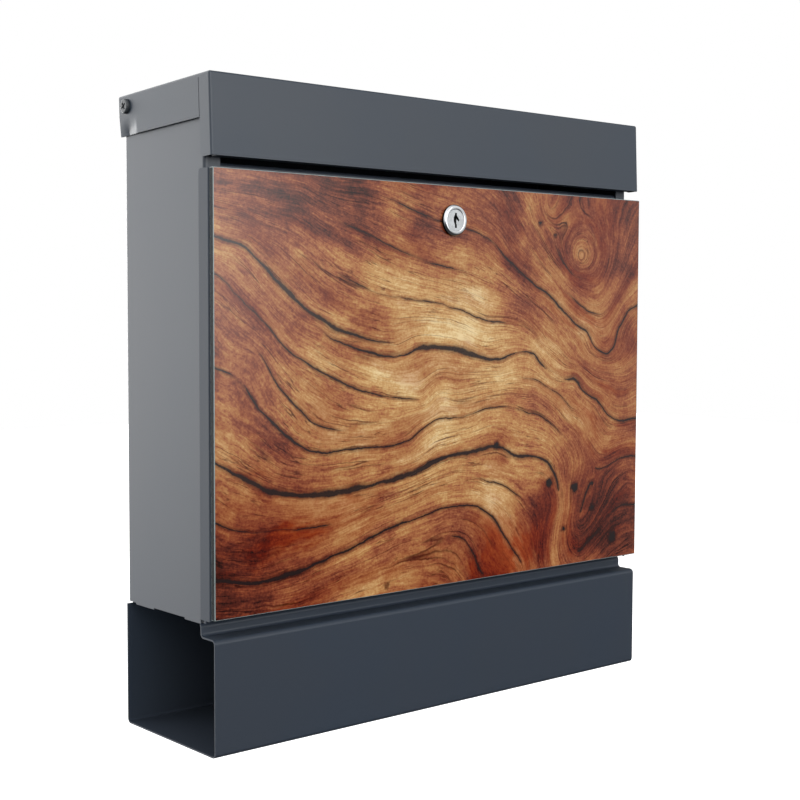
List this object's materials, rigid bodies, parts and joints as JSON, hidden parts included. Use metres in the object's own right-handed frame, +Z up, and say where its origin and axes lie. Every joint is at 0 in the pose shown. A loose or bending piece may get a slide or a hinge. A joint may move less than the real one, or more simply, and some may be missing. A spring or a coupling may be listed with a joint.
{
  "type": "wall mounted mailbox",
  "caption": "Wall mounted letter box in folded steel: rear-hinged letter lid, lockable bottom-hinged glass-faced door, open newspaper tube below.",
  "frame": {"origin": "centre of the four wall screws, on the wall plane at the rear ends of the spacers", "axes": "+X right when seen from the front, front faces -Y, wall is the plane y = 0, +Z up"},
  "size_m": [0.3846, 0.1196, 0.4069],
  "materials": {
    "painted_steel": "satin powder coat",
    "printed_glass": "toughened glass, printed wood motif behind",
    "foam_tape": "black acrylic foam",
    "chrome_lock": "chrome plated, brushed plug face",
    "zinc_steel": "zinc plated",
    "black_rubber": "matte",
    "black_plastic": "matte nylon"
  },
  "bodies": {
    "root": {"body_wrap": "painted_steel", "floor_panel": "painted_steel", "slot_crossbar": "painted_steel", "newspaper_tube": "painted_steel", "tube_rivets": "zinc_steel", "crossbar_rivets": "zinc_steel", "wall_spacers": "black_rubber", "lid_hinge_screws": "zinc_steel", "lid_hinge_washers": "black_plastic", "lid_hinge_nuts": "zinc_steel", "door_hinge_plate_left": "painted_steel", "door_hinge_plate_right": "painted_steel"},
    "lid": {"lid": "painted_steel"},
    "door": {"door_pan": "painted_steel", "door_glass": "printed_glass", "glass_tape": "foam_tape", "door_hinge_pins": "zinc_steel", "lock_gasket": "black_rubber", "lock_housing": "chrome_lock", "lock_nut": "zinc_steel"},
    "lock": {"lock_plug": "chrome_lock", "lock_cam": "zinc_steel", "cam_washer": "zinc_steel", "cam_screw": "zinc_steel"}
  },
  "joints": [
    {"name": "lid_hinge", "type": "hinge", "parent": "root", "child": "lid", "pos_m": [0, -0.018, 0.1587], "axis": [-1, 0, 0], "range_deg": [0, 85]},
    {"name": "door_hinge", "type": "hinge", "parent": "root", "child": "door", "pos_m": [0, -0.1065, -0.151], "axis": [1, 0, 0], "range_deg": [0, 100]},
    {"name": "lock_turn", "type": "hinge", "parent": "door", "child": "lock", "pos_m": [0, -0.11, 0.091], "axis": [0, -1, 0], "range_deg": [0, 90]}
  ]
}
